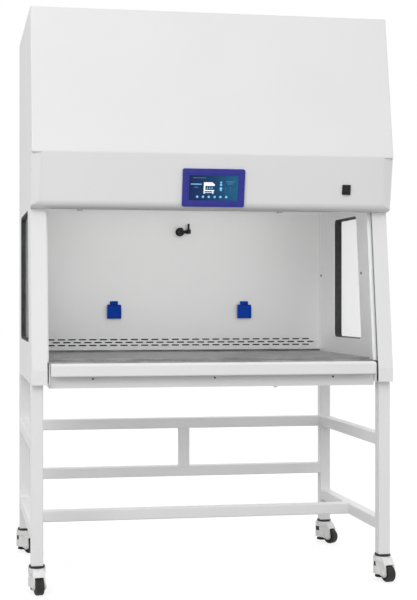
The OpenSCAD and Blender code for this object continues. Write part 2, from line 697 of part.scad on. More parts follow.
module drain_pan() color(steel) difference() {
  union() {
    difference() {
      box([-pan_x, pan_front, pan_z], [pan_x, back_y - sheet - seat_gap, ledge_z]);
      box([-pan_x + sheet, pan_front + sheet, pan_z + sheet], [pan_x - sheet, back_y - 2 * sheet - seat_gap, ledge_z + 1]);
    }
    for (s = [-1, 1]) translate([s * (pan_x - 9), 0, 0])
      box([-9, pan_front, ledge_z - sheet], [9, rear_y - 2, ledge_z]);
    // front wall, up to the underside of the armrest
    box([-pan_x, pan_front, pan_z], [pan_x, pan_front + sheet, arm_z - sheet - 0.5 - seat_gap]);
  }
  translate([drain_x, drain_y, pan_z - 1]) cylinder(r = drain_r - 2, h = sheet + 2);
}
module lower_front_panel() color(grey_white)
  along_x(2 * (in_x - 1)) polygon(strip(
    [[front_y, arm_z - arm_h - seat_gap], [front_y, pan_z - sheet - seat_gap], [front_y + 30, pan_z - sheet - seat_gap]], sheet));

/* ---- Sash ---- */
module sash_guides() color([0.8, 0.81, 0.82]) mirrored() on_rake() difference() {
  box([edge_x, guide_y, guide_low], [edge_x + guide_w, guide_back, guide_low + guide_len]);
  box([edge_x - 1, glass_y - slot_clear, guide_low - 1], [edge_x + glass_grip + 2, glass_y + glass_t + slot_clear, guide_low + guide_len + 1]);
}
module sash_glass() color(clear) on_rake()
  box([-edge_x - glass_grip, glass_y, glass_low], [edge_x + glass_grip, glass_y + glass_t, glass_low + glass_h]);
module sash_handle() color([0.75, 0.76, 0.78]) on_rake() difference() {
  x = in_x - 2;
  y = glass_y + glass_t / 2;
  union() {
    box([-x, y - 7, glass_low - handle_drop], [x, y + 7, glass_low + handle_up]);
    box([-x, y, glass_low - handle_drop], [x, y + 16, glass_low - handle_drop + 4]);
  }
  box([-x - 1, glass_y - seat_gap, glass_low - seat_gap], [x + 1, glass_y + glass_t + seat_gap, glass_low + handle_up + 1]);
}

/* ---- Air handling ---- */
module framed_filter(a, b, rim, deep) {
  difference() {
    box(a, b);
    box([a[0] + rim, a[1] + rim, a[2] - 1], [b[0] - rim, b[1] - rim, a[2] + deep]);
    box([a[0] + rim, a[1] + rim, b[2] - deep], [b[0] - rim, b[1] - rim, b[2] + 1]);
  }
}
filter_x = in_x + 5;
filter_y0 = edge_y(liner_top + filter_h) + guide_back + 5;
module supply_filter() color([0.9, 0.9, 0.88])
  framed_filter([-filter_x, filter_y0, liner_top + seat_gap], [filter_x, rear_y + 8, filter_top], 18, 8);
outlet_y0 = blower_y + 12;
outlet_y1 = blower_y + scroll_r;
plenum_y0 = filter_y0 + 19;
module plenum_box() color(steel) difference() {
  box([-filter_x, plenum_y0, filter_top + seat_gap], [filter_x, rear_y + 8, plenum_top]);
  box([-filter_x + sheet, plenum_y0 + sheet, filter_top - 1], [filter_x - sheet, rear_y + 8 - sheet, plenum_top - sheet]);
  box([-scroll_w / 2 + scroll_wall, outlet_y0, plenum_top - 5], [scroll_w / 2 - scroll_wall, outlet_y1 - scroll_wall, plenum_top + 1]);
}
module scroll_shape(r, foot) {
  translate([blower_y, blower_z]) circle(r, $fn = 96);
  translate([outlet_y0 - (foot ? scroll_wall : 0), plenum_top + (foot ? seat_gap : -5)])
    square([r + blower_y - outlet_y0 + (foot ? scroll_wall : 0), blower_z - plenum_top]);
}
module blower_housing() color(steel) difference() {
  union() {
    along_x(scroll_w) scroll_shape(scroll_r, true);
    box([-scroll_w / 2 - 16, outlet_y0 - 20, plenum_top + seat_gap], [scroll_w / 2 + 16, outlet_y1 + 16, plenum_top + 3]);
  }
  along_x(scroll_w - 2 * scroll_wall) scroll_shape(scroll_r - scroll_wall, false);
  translate([0, blower_y, blower_z]) rod_x(impeller_r * 0.7, -scroll_w, scroll_w);
}
blade_in = impeller_r - 24;
module blower_wheel() color([0.62, 0.63, 0.64]) translate([0, blower_y, blower_z]) {
  difference() {
    union() {
      rod_x(impeller_r, -2, 2);
      rod_x(26, -22, 22);
    }
    rod_x(shaft_r + run, -40, 40);
  }
  for (s = [-1, 1]) translate([s * (impeller_w / 2 - 1.5), 0, 0]) difference() {
    rod_x(impeller_r, -1.5, 1.5);
    rod_x(blade_in, -3, 3);
  }
  for (i = [0:blades - 1]) rotate([360 * i / blades, 0, 0])
    translate([0, 0, (impeller_r + blade_in) / 2]) rotate([28, 0, 0])
      cube([impeller_w - 2, 1.6, 21], center = true);
}
motor_r = 62;
module blower_motor() color([0.35, 0.36, 0.38]) translate([0, blower_y, blower_z]) {
  x1 = -scroll_w / 2 - seat_gap;
  rod_x(shaft_r, x1 - 10, 24);
  rod_x(motor_r, x1 - 118, x1 - 8);
  rod_x(motor_r - 14, x1 - 126, x1 - 110);
  for (a = [90, 210, 330]) rotate([a, 0, 0]) box([x1 - 14, 0, -9] + [0, 20, 0], [x1 - 9, impeller_r * 0.7 + 16, 9]);
  for (a = [90, 210, 330]) rotate([a, 0, 0]) box([x1 - 10, impeller_r * 0.7 + 3, -9], [x1, impeller_r * 0.7 + 16, 9]);
}
module exhaust_filter() color([0.9, 0.9, 0.88])
  framed_filter([-exhaust_x, exhaust_y0, exhaust_low],
                [exhaust_x, exhaust_y1, face_top_z - guard_t - 2 * seat_gap], 20, 8);
module exhaust_guard() color(steel) difference() {
  box([-exhaust_x, exhaust_y0, face_top_z - guard_t - seat_gap], [exhaust_x, exhaust_y1, face_top_z - seat_gap]);
  nx = floor(2 * exhaust_open_x / 60);
  ny = floor((exhaust_open_y1 - exhaust_open_y0) / 30);
  for (i = [0:nx - 1], j = [0:ny - 1])
    translate([(i - (nx - 1) / 2) * 60, (exhaust_open_y0 + exhaust_open_y1) / 2 + (j - (ny - 1) / 2) * 30, face_top_z - 10])
      linear_extrude(12) slot(46, 12);
}
diffuser_y0 = edge_y(ceiling_z) + guide_back + 4;
module diffuser() color(steel) difference() {
  box([-in_x + seat_gap, diffuser_y0, ceiling_z], [in_x - seat_gap, rear_y - seat_gap, ceiling_z + sheet]);
  nx = floor((2 * in_x - 60) / 80);
  ny = floor((rear_y - diffuser_y0 - 90) / 80);
  for (i = [0:nx - 1], j = [0:ny - 1])
    translate([(i - (nx - 1) / 2) * 80, diffuser_y0 + 90 + j * 80, ceiling_z - 1])
      cylinder(r = 7, h = sheet + 2, $fn = 24);
}
module work_lamp() color([0.95, 0.95, 0.93]) {
  y = diffuser_y0 + 26;
  box([-lamp_l / 2, y - 20, ceiling_z - 22], [lamp_l / 2, y + 20, ceiling_z - seat_gap]);
  translate([0, y, ceiling_z - 22]) rod_x(13, -lamp_l / 2 + 15, lamp_l / 2 - 15);
}
uv_z = ceiling_z - 20;
module uv_lamp() color([0.8, 0.84, 0.9]) {
  y = rear_y - 24;
  translate([0, y, uv_z]) rod_x(8, -uv_l / 2, uv_l / 2);
  for (s = [-1, 1]) translate([s * uv_l / 2, 0, 0])
    box([-9, y - 11, uv_z - 13], [9, rear_y - seat_gap, uv_z + 13]);
}

/* ---- Services ---- */
socket_z = work_z + socket_up;          // hinge height of the covers
socket_t = 9;
hinge_r = 2.2;
hinge_y = rear_y - socket_t - 4;
blue = [0.05, 0.16, 0.6];
module socket_bodies() color(blue) for (s = [-1, 1]) translate([socket_mid + s * socket_x, 0, 0]) {
  difference() {
    union() {
      box([-socket_w / 2 + 1, rear_y - socket_t, socket_z - socket_h - 1], [socket_w / 2 - 1, rear_y - seat_gap, socket_z - 3]);
      // narrower block behind the hinge
      box([-17, rear_y - socket_t, socket_z - 4], [17, rear_y - seat_gap, socket_z + 12]);
    }
    for (x = [-6, 6]) translate([x, 0, socket_z - socket_h / 2]) box([-1.2, rear_y - socket_t - 1, -4], [1.2, rear_y - socket_t + 6, 4]);
    translate([0, rear_y - socket_t - 1, socket_z - socket_h / 2 - 14]) rotate([-90, 0, 0]) cylinder(r = 1.9, h = 7);
  }
  // hinge lug with its pin
  box([-6, hinge_y, socket_z - 4], [6, rear_y - socket_t, socket_z + 4]);
  translate([0, hinge_y, socket_z]) {
    rod_x(4, -6, 6);
    rod_x(hinge_r, -15, 15);
  }
}
module socket_cover(s) color(blue) translate([socket_mid + s * socket_x, 0, 0]) {
  y1 = rear_y - socket_t - 0.4;
  difference() {
    union() {
      box([-socket_w / 2, y1 - 5, socket_z - socket_h], [socket_w / 2, y1, socket_z - 5]);
      for (k = [-1, 1]) translate([k * 11.2, hinge_y, socket_z]) {
        rod_x(4, -4.4, 4.4);
        box([-4.4, -4, -6], [4.4, 1.6, 0]);
      }
    }
    translate([0, hinge_y, socket_z]) rod_x(hinge_r + run, -20, 20);
    // finger scoop under the lower edge
    translate([0, y1 - 6, socket_z - socket_h - 2]) rotate([-90, 0, 0]) cylinder(r = 9, h = 3.4);
  }
}
module socket_cover_left() socket_cover(-1);
module socket_cover_right() socket_cover(1);

tap_z = ceiling_z - tap_down;
module tap_body() color([0.08, 0.08, 0.09]) translate([tap_x, rear_y - seat_gap, tap_z]) rotate([90, 0, 0]) {
  cylinder(r = 19, h = 4);
  cylinder(r = 12, h = 26);
  translate([0, 0, 15]) rotate([0, 90, 0]) cylinder(r = 6.5, h = 32);
  translate([36, 0, 15]) rotate([-90, 0, 0]) {
    translate([0, 0, -8]) cylinder(r = 10, h = 18);
    translate([0, 0, 9]) cylinder(r = tip_r, h = 26);
    translate([0, 0, 9]) cylinder(r = tip_r + 2, h = 5);
  }
  cylinder(r = 4, h = 36);
}
module tap_handle() color([0.08, 0.08, 0.09])
  translate([tap_x, rear_y - seat_gap - 26.4, tap_z]) rotate([90, 0, 0]) difference() {
    union() {
      linear_extrude(14) rounded(30, 12, 5);
      linear_extrude(14) rounded(12, 34, 5);
      cylinder(r = 11, h = 14);
    }
    translate([0, 0, -1]) cylinder(r = 4 + run, h = 16);
  }

drain_y = rear_y + 20;
drain_z = pan_z - 24;
tail = 24;                              // length of the hose tail
module drain_valve_body() color([0.78, 0.68, 0.4]) translate([drain_x, drain_y, 0]) difference() {
  union() {
    translate([0, 0, pan_z - 6 - seat_gap]) cylinder(r = drain_r + 6, h = 6);
    translate([0, 0, drain_z]) cylinder(r = drain_r + 1, h = pan_z - drain_z - 4);
    translate([0, 0, drain_z]) sphere(r = drain_r + 4);
    translate([0, 0, drain_z - 12]) cylinder(r = drain_r + 3, h = 12);
    translate([0, 0, drain_z - 12 - tail]) cylinder(r = drain_r, h = tail + 1);
    translate([0, 0, drain_z]) rotate([90, 0, 0]) cylinder(r = 3.5, h = 24);
  }
  // the closed ball parts the two bores
  translate([0, 0, drain_z - 13 - tail]) cylinder(r = drain_r - 3, h = tail + 6);
  translate([0, 0, drain_z + 7]) cylinder(r = drain_r - 3, h = 60);
}
module drain_lever() color([0.75, 0.1, 0.08]) translate([drain_x, drain_y, drain_z]) difference() {
  union() {
    translate([0, -drain_r - 6, 0]) rotate([90, 0, 0]) cylinder(r = 8, h = 7);
    translate([0, -drain_r - 6 - 7, 0]) box([0, 0, -5.5], [48, 3, 5.5]);
  }
  translate([0, -drain_r - 5, 0]) rotate([90, 0, 0]) cylinder(r = 3.5 + run, h = 12);
}

/* ---- Fasteners ---- */
module screw_head(r = 4.5) rotate_extrude() polygon([[0, 0.1], [r, 0.1], [r, 1.2], [r - 1.5, 2.6], [0, 2.6]]);
module fasteners() color([0.6, 0.6, 0.62]) {
  // back panel
  for (x = [-1, 1], i = [0:5])
    translate([x * (half_w - 16), back_y, cab_base + 40 + i * (cab_top - cab_base - 80) / 5]) rotate([-90, 0, 0]) screw_head();
  for (i = [-1:1], z = [cab_base + 16, cab_top - 18])
    translate([i * half_w * 0.5, back_y, z]) rotate([-90, 0, 0]) screw_head();
  // lower front panel
  for (i = [-1:1])
    translate([i * in_x * 0.74, front_y, arm_z - arm_h - 9]) rotate([90, 0, 0]) screw_head(3.5);
  // chamber liners
  for (s = [-1, 1], y = [rear_y - 24, edge_y(cab_base + 420) + 128])
    translate([s * in_x, y, cab_base + 420]) rotate([0, -s * 90, 0]) screw_head(5);
}

stand_legs();
stand_rails();
caster_stems();
side_panel_left();
side_panel_right();
side_liners();
window_gaskets();
window_panes();
back_panel();
power_inlet();
rear_wall();
top_panel();
drain_pan();
lower_front_panel();
armrest();
work_surface();
front_grille();
hood_cover();
hood_end_caps();
display_bezel();
display_screen();
switch_frame();
switch_rocker();
sash_guides();
sash_glass();
sash_handle();
exhaust_filter();
exhaust_guard();
supply_filter();
plenum_box();
diffuser();
blower_housing();
blower_motor();
blower_wheel();
work_lamp();
uv_lamp();
socket_bodies();
socket_cover_left();
socket_cover_right();
tap_body();
tap_handle();
drain_valve_body();
drain_lever();
fasteners();
at_caster(-1, -1, swivel_fl) caster_fork();  // caster_fork_fl
at_caster(1, -1, swivel_fr) caster_fork();  // caster_fork_fr
at_caster(-1, 1, swivel_rl) caster_fork();  // caster_fork_rl
at_caster(1, 1, swivel_rr) caster_fork();  // caster_fork_rr
at_caster(-1, -1, swivel_fl) caster_wheel();  // caster_wheel_fl
at_caster(1, -1, swivel_fr) caster_wheel();  // caster_wheel_fr
at_caster(-1, 1, swivel_rl) caster_wheel();  // caster_wheel_rl
at_caster(1, 1, swivel_rr) caster_wheel();  // caster_wheel_rr
at_caster(-1, -1, swivel_fl) caster_foot();  // caster_foot_fl
at_caster(1, -1, swivel_fr) caster_foot();  // caster_foot_fr
at_caster(-1, 1, swivel_rl) caster_foot();  // caster_foot_rl
at_caster(1, 1, swivel_rr) caster_foot();  // caster_foot_rr
at_caster(-1, -1, swivel_fl) caster_dial();  // caster_dial_fl
at_caster(1, -1, swivel_fr) caster_dial();  // caster_dial_fr
at_caster(-1, 1, swivel_rl) caster_dial();  // caster_dial_rl
at_caster(1, 1, swivel_rr) caster_dial();  // caster_dial_rr
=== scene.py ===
"""Dresses the biosafety cabinet: materials, printed and moulded detail, stage, lights and camera."""
import json
import math

import bmesh
import bpy
from mathutils import Matrix, Vector

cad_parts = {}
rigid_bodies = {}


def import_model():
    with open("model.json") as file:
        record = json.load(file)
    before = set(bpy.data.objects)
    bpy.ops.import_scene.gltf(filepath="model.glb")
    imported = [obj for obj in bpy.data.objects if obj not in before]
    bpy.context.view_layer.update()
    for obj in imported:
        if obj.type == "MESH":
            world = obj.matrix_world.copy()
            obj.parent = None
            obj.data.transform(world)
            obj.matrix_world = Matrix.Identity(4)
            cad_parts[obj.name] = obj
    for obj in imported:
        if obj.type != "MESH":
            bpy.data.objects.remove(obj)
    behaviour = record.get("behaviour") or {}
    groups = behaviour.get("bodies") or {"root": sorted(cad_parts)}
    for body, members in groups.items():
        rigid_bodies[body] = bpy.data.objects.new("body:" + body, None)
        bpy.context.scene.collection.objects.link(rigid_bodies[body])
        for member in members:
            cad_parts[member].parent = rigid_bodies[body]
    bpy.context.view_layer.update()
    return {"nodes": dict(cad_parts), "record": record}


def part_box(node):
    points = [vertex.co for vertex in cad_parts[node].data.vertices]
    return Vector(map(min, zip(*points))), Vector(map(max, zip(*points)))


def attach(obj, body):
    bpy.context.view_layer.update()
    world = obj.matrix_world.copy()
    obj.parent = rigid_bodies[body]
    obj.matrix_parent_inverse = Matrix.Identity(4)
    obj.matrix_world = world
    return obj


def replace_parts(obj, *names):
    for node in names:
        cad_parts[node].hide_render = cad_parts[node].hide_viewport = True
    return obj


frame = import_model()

MM = 0.001
ROOT = "cabinet"
CORNERS = ("fl", "fr", "rl", "rr")

# Camera, from the photograph's perspective: place in m, turn about z in degrees, lens in mm
CAMERA_AT = (-0.98196, -4.78256, 1.08518)
CAMERA_YAW = 8.9126
CAMERA_LENS = 71.39
CAMERA_SHIFT = 0.1172

# Lean of the control band
BAND_TILT = math.radians(10.2)

# Stand in mm: heights of the rails' middles, place of the strut, sizes of the tubes
UPPER_Z, MIDDLE_Z, LOWER_Z, STRUT_X = 545.5, 335.5, 217.5, 28.5
LEG, RAIL, LOW_RAIL = 45.0, 45.0, 44.0

# Colours, as linear values
WHITE = (0.85, 0.85, 0.85)
GREY_WHITE = (0.78, 0.78, 0.79)

# Grain of rolled sheet: much finer across than along
SHEET_GRAIN = (1.2, 90, 90)

# Light: floor's tone and glow, strengths of the sky and of the three soft boxes
FLOOR_TONE, FLOOR_GLOW = 0.29, 0.77
SKY_ABOVE, SKY_BELOW = 0.90, 0.27
KEY_POWER, LOW_FILL_POWER, BACK_FILL_POWER = 118, 38, 60


# ---------------------------------------------------------------- materials

class Nodes:
    """A material's node tree, with short calls for the nodes that the recipes below share."""

    def __init__(self, name):
        self.material = bpy.data.materials.new(name)
        self.material.use_nodes = True
        self.tree = self.material.node_tree
        self.shader = self.tree.nodes["Principled BSDF"]
        self.place = self.add("ShaderNodeTexCoord").outputs["Object"]

    def add(self, kind, **values):
        node = self.tree.nodes.new(kind)
        for key, value in values.items():
            setattr(node, key, value)
        return node

    def link(self, a, b):
        self.tree.links.new(a, b)

    def stretched(self, scale):
        node = self.add("ShaderNodeMapping")
        node.inputs["Scale"].default_value = scale
        self.link(self.place, node.inputs["Vector"])
        return node.outputs["Vector"]

    def noise(self, scale, detail=3.0, stretch=None, rough=0.5):
        node = self.add("ShaderNodeTexNoise")
        node.inputs["Scale"].default_value = scale
        node.inputs["Detail"].default_value = detail
        node.inputs["Roughness"].default_value = rough
        self.link(self.stretched(stretch) if stretch else self.place, node.inputs["Vector"])
        return node.outputs["Fac"]

    def ramp(self, value, stops):
        node = self.add("ShaderNodeValToRGB")
        ramp = node.color_ramp
        while len(ramp.elements) < len(stops):
            ramp.elements.new(0.5)
        for element, (at, colour) in zip(ramp.elements, stops):
            element.position = at
            element.color = (*colour, 1.0)
        self.link(value, node.inputs["Fac"])
        return node.outputs["Color"]

    def spread(self, value, low, high):
        node = self.add("ShaderNodeMapRange")
        node.inputs["To Min"].default_value = low
        node.inputs["To Max"].default_value = high
        self.link(value, node.inputs["Value"])
        return node.outputs["Result"]

    def bump(self, height, strength, distance):
        node = self.add("ShaderNodeBump")
        node.inputs["Strength"].default_value = strength
        node.inputs["Distance"].default_value = distance
        self.link(height, node.inputs["Height"])
        self.link(node.outputs["Normal"], self.shader.inputs["Normal"])

    def set(self, **values):
        for key, value in values.items():
            self.shader.inputs[key.replace("_", " ").title().replace("Ior", "IOR")].default_value = value


def shade(colour, factor):
    return tuple(min(1.0, c * factor) for c in colour)


def powder_coat(name, colour, rough=0.42):
    """Sprayed and baked paint: a fine orange peel, and a faint drift of tone over a panel."""
    n = Nodes(name)
    drift = n.noise(2.5, 2)
    n.link(n.ramp(drift, [(0.3, shade(colour, 0.975)), (0.7, colour)]), n.shader.inputs["Base Color"])
    n.link(n.spread(n.noise(90, 2), rough - 0.05, rough + 0.05), n.shader.inputs["Roughness"])
    n.bump(n.noise(900, 2), 0.12, 0.0003)
    return n.material


def brushed(name, colour, rough=0.34, along=(1.5, 260, 260), depth=0.10, low=0.90):
    """Rolled and brushed sheet, with its grain along one axis."""
    n = Nodes(name)
    grain = n.noise(2.0, 5, stretch=along, rough=0.62)
    n.link(n.ramp(grain, [(0.25, shade(colour, low)), (0.75, shade(colour, 2 - low))]),
           n.shader.inputs["Base Color"])
    n.link(n.spread(grain, rough - 0.07, rough + 0.08), n.shader.inputs["Roughness"])
    n.set(metallic=1.0)
    n.bump(grain, depth, 0.0002)
    return n.material


def galvanised(name, colour):
    """Zinc spangle: crystals of slightly different tone."""
    n = Nodes(name)
    cells = n.add("ShaderNodeTexVoronoi")
    cells.inputs["Scale"].default_value = 90
    n.link(n.place, cells.inputs["Vector"])
    n.link(n.ramp(cells.outputs["Distance"], [(0.0, shade(colour, 0.86)), (0.6, shade(colour, 1.08))]),
           n.shader.inputs["Base Color"])
    n.link(n.spread(cells.outputs["Distance"], 0.35, 0.55), n.shader.inputs["Roughness"])
    n.set(metallic=1.0)
    return n.material


def plastic(name, colour, rough=0.4, gloss=0.5):
    """Moulded plastic with a fine spark-eroded grain."""
    n = Nodes(name)
    n.set(specular_ior_level=gloss)
    n.link(n.ramp(n.noise(30, 3), [(0.35, shade(colour, 0.93)), (0.65, shade(colour, 1.04))]),
           n.shader.inputs["Base Color"])
    n.link(n.spread(n.noise(220, 2), rough - 0.05, rough + 0.07), n.shader.inputs["Roughness"])
    n.bump(n.noise(1400, 1), 0.10, 0.0003)
    return n.material


def rubber(name, colour, rough=0.72):
    """Matt rubber, with a dusty bloom in patches."""
    n = Nodes(name)
    n.link(n.ramp(n.noise(45, 4), [(0.35, colour), (0.75, shade(colour, 1.7))]),
           n.shader.inputs["Base Color"])
    n.link(n.spread(n.noise(160, 2), rough - 0.08, rough + 0.1), n.shader.inputs["Roughness"])
    n.bump(n.noise(700, 2), 0.25, 0.0003)
    return n.material


def die_cast(name, colour):
    """Die-cast alloy with a pale sprayed coat, slightly grainy."""
    n = Nodes(name)
    n.link(n.ramp(n.noise(60, 4), [(0.3, shade(colour, 0.90)), (0.7, colour)]),
           n.shader.inputs["Base Color"])
    n.link(n.spread(n.noise(150, 2), 0.38, 0.52), n.shader.inputs["Roughness"])
    n.bump(n.noise(500, 3), 0.2, 0.0004)
    return n.material


def bright_metal(name, colour, rough=0.22):
    """Turned or plated metal, with faint tool marks."""
    n = Nodes(name)
    turned = n.noise(40, 4, stretch=(1, 1, 14))
    n.link(n.ramp(turned, [(0.3, shade(colour, 0.9)), (0.7, colour)]), n.shader.inputs["Base Color"])
    n.link(n.spread(turned, rough - 0.05, rough + 0.08), n.shader.inputs["Roughness"])
    n.set(metallic=1.0)
    return n.material


def pane(name, colour, alpha, edge_alpha):
    """Clear sheet: see-through from the front, and a pale mirror where it is seen at a flat angle."""
    n = Nodes(name)
    n.link(n.spread(n.noise(6, 3), 0.02, 0.06), n.shader.inputs["Roughness"])
    n.shader.inputs["Base Color"].default_value = (*colour, 1.0)
    n.set(ior=1.45)
    edge_on = n.add("ShaderNodeFresnel")
    edge_on.inputs["IOR"].default_value = 1.45
    n.link(n.spread(edge_on.outputs[0], alpha, edge_alpha), n.shader.inputs["Alpha"])
    return n.material


def worn_tray(name, colour):
    """Stainless tray that has been wiped for years: dull, with cloudy patches and fine cross scratches."""
    n = Nodes(name)
    cloud = n.noise(9, 4, stretch=(1, 2.2, 1), rough=0.6)
    scratch = n.noise(3.0, 5, stretch=(2.5, 140, 140), rough=0.6)
    both = n.add("ShaderNodeMath", operation="MULTIPLY")
    n.link(cloud, both.inputs[0])
    n.link(scratch, both.inputs[1])
    n.link(n.ramp(both.outputs[0], [(0.16, shade(colour, 0.72)), (0.36, shade(colour, 1.22))]),
           n.shader.inputs["Base Color"])
    n.link(n.spread(cloud, 0.30, 0.50), n.shader.inputs["Roughness"])
    n.set(metallic=1.0)
    n.bump(scratch, 0.12, 0.0002)
    return n.material


def glowing(name, colour, strength):
    """A lamp, or a lit mark on the screen."""
    n = Nodes(name)
    n.link(n.ramp(n.noise(400, 1), [(0.3, shade(colour, 0.92)), (0.7, colour)]),
           n.shader.inputs["Base Color"])
    n.shader.inputs["Emission Color"].default_value = (*colour, 1.0)
    n.set(emission_strength=strength, roughness=0.3)
    return n.material


def screen_glass(name):
    """Dark screen whose lit ground turns from navy at the left to teal at the right."""
    n = Nodes(name)
    low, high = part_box("display_screen")
    across = n.add("ShaderNodeSeparateXYZ")
    n.link(n.place, across.inputs[0])
    part = n.add("ShaderNodeMapRange")
    part.inputs["From Min"].default_value = low[0]
    part.inputs["From Max"].default_value = high[0]
    n.link(across.outputs["X"], part.inputs["Value"])
    mix = n.add("ShaderNodeMath", operation="ADD", use_clamp=True)
    n.link(part.outputs["Result"], mix.inputs[0])
    n.link(n.spread(n.noise(40, 2), -0.15, 0.15), mix.inputs[1])
    tone = n.ramp(mix.outputs[0], [(0.0, (0.006, 0.016, 0.075)), (0.55, (0.008, 0.045, 0.115)),
                                   (1.0, (0.012, 0.10, 0.20))])
    n.link(tone, n.shader.inputs["Base Color"])
    n.link(tone, n.shader.inputs["Emission Color"])
    n.set(emission_strength=0.35, roughness=0.22, specular_ior_level=0.12)
    return n.material


def filter_paper(name, colour):
    """Glass-fibre paper: dull and finely felted."""
    n = Nodes(name)
    n.link(n.ramp(n.noise(120, 4), [(0.3, shade(colour, 0.88)), (0.7, colour)]),
           n.shader.inputs["Base Color"])
    n.set(roughness=0.9)
    n.bump(n.noise(1800, 3), 0.4, 0.0003)
    return n.material


MATERIALS = {
    "white_paint": powder_coat("white_paint", WHITE),
    "grey_paint": powder_coat("grey_paint", GREY_WHITE),
    "stainless": brushed("stainless", (0.79, 0.79, 0.79), 0.58, SHEET_GRAIN, 0.03, 0.985),
    "galvanised": galvanised("galvanised", (0.55, 0.56, 0.57)),
    "caster_black": powder_coat("caster_black", (0.006, 0.006, 0.006), 0.45),
    "gasket_rubber": rubber("gasket_rubber", (0.030, 0.030, 0.031)),
    "window_glass": pane("window_glass", (0.94, 0.95, 0.95), 0.0, 0.16),
    "bezel_plastic": plastic("bezel_plastic", (0.036, 0.040, 0.30), 0.45, gloss=0.25),
    "screen_glass": screen_glass("screen_glass"),
    "black_plastic": plastic("black_plastic", (0.008, 0.008, 0.009), 0.40, gloss=0.3),
    "aluminium_trim": brushed("aluminium_trim", (0.70, 0.71, 0.72), 0.40, (2, 300, 300), 0.06),
    "filter_media": filter_paper("filter_media", (0.82, 0.82, 0.78)),
    "motor_grey": powder_coat("motor_grey", (0.10, 0.105, 0.11), 0.5),
    "impeller_steel": galvanised("impeller_steel", (0.60, 0.61, 0.62)),
    "lamp_white": glowing("lamp_white", (0.92, 0.93, 0.90), 3.4),
    "uv_glass": pane("uv_glass", (0.86, 0.88, 0.95), 0.55, 0.7),
    "socket_blue": plastic("socket_blue", (0.002, 0.047, 0.37), 0.5, gloss=0.10),
    "valve_brass": bright_metal("valve_brass", (0.60, 0.57, 0.50)),
    "lever_red": plastic("lever_red", (0.50, 0.012, 0.010), 0.45),
    "screw_steel": bright_metal("screw_steel", (0.62, 0.63, 0.65)),
    "caster_diecast": die_cast("caster_diecast", (0.84, 0.84, 0.83)),
    "caster_tread": rubber("caster_tread", (0.005, 0.005, 0.005), 0.55),
    "foot_rubber": rubber("foot_rubber", (0.014, 0.014, 0.014)),
    "dial_plastic": plastic("dial_plastic", (0.016, 0.016, 0.017), 0.42),
}

# Nodes whose look differs from the rest of their slot: a tray darkened as painted shade, with wear; liners
# brightened as painted light; a sash with more sheen
# Painted shade: the tray and grille take a dark copy of the stainless (0.37 against 0.79) for the shadow
# under the hood; only the cloudy patches and scratches are wear
SHADED_TRAY = worn_tray("stainless_tray_painted_shade", (0.37, 0.37, 0.37))
MATERIAL_OF = {
    "work_surface": SHADED_TRAY,
    "front_grille": SHADED_TRAY,
    # Painted light: the liners take a paler copy of the stainless (0.92 against 0.79), standing in for light
    # that falls short inside the chamber
    "side_liners": brushed("stainless_liner_painted_light", (0.92, 0.92, 0.92), 0.62, SHEET_GRAIN, 0.03, 0.985),
    "sash_glass": pane("sash_glass", (0.90, 0.93, 0.93), 0.06, 0.5),
}


def dress_nodes():
    """Gives every CAD node its material, through its object's slots."""
    for row in frame["record"]["subparts"]:
        material = MATERIAL_OF.get(row["node"], MATERIALS[row["material_slot"]])
        node = frame["nodes"][row["node"]]
        for part in [node, *node.children_recursive]:
            if part.type != "MESH":
                continue
            for one in part.material_slots:
                one.material = material
            if not part.material_slots:
                part.data.materials.append(material)


dress_nodes()


# ---------------------------------------------------------------- mesh tools

def piece(name, mesh, body, slot, material=None, smooth=None):
    """Makes an object of a bmesh, gives it its slot's material and puts it on a body."""
    data = bpy.data.meshes.new(name)
    bmesh.ops.recalc_face_normals(mesh, faces=mesh.faces)
    mesh.to_mesh(data)
    mesh.free()
    made = bpy.data.objects.new(name, data)
    bpy.context.collection.objects.link(made)
    data.materials.append(material or MATERIALS[slot])
    if smooth is not None:
        for face in data.polygons:
            face.use_smooth = True
        data.set_sharp_from_angle(angle=math.radians(smooth))
    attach(made, body)
    return made


def add_block(mesh, low, high, place=Matrix.Identity(4), edge=0.0):
    """Adds a box between two corners, with its edges rounded by a bevel."""
    low, high = Vector(low), Vector(high)
    made = bmesh.ops.create_cube(mesh, size=1.0)["verts"]
    for vert in made:
        vert.co = (low + high) / 2 + Vector(a * b for a, b in zip(vert.co, high - low))
    if edge:
        edges = list({e for v in made for e in v.link_edges})
        made = bmesh.ops.bevel(mesh, geom=edges, offset=edge, segments=2, profile=0.5,
                               affect="EDGES")["verts"]
    if place != Matrix.Identity(4):
        bmesh.ops.transform(mesh, matrix=place, verts=made)


def circle(radius, steps):
    """Points round a circle about the origin."""
    turns = [2 * math.pi * i / steps for i in range(steps)]
    return [(radius * math.cos(a), radius * math.sin(a)) for a in turns]


def add_turned(mesh, profile, place=Matrix.Identity(4), steps=48):
    """Adds a body of revolution about z from points (radius, height), closed where they meet the axis."""
    rings = []
    for radius, height in profile:
        if radius < 1e-7:
            rings.append([mesh.verts.new(place @ Vector((0, 0, height)))])
            continue
        rings.append([mesh.verts.new(place @ Vector((x, y, height))) for x, y in circle(radius, steps)])
    for lower, upper in zip(rings, rings[1:]):
        for i in range(steps):
            j = (i + 1) % steps
            a, b = lower[i % len(lower)], lower[j % len(lower)]
            c, d = upper[j % len(upper)], upper[i % len(upper)]
            face = list(dict.fromkeys((a, b, c, d)))
            if len(face) > 2:
                mesh.faces.new(face)


def rounded_outline(width, height, radius, steps=6):
    """Points round a rectangle with rounded corners, about its middle."""
    points = []
    for quarter, (sx, sy) in enumerate(((1, 1), (-1, 1), (-1, -1), (1, -1))):
        for i in range(steps + 1):
            a = math.pi / 2 * (quarter + i / steps)
            points.append((sx * (width / 2 - radius) + radius * math.cos(a),
                           sy * (height / 2 - radius) + radius * math.sin(a)))
    return points


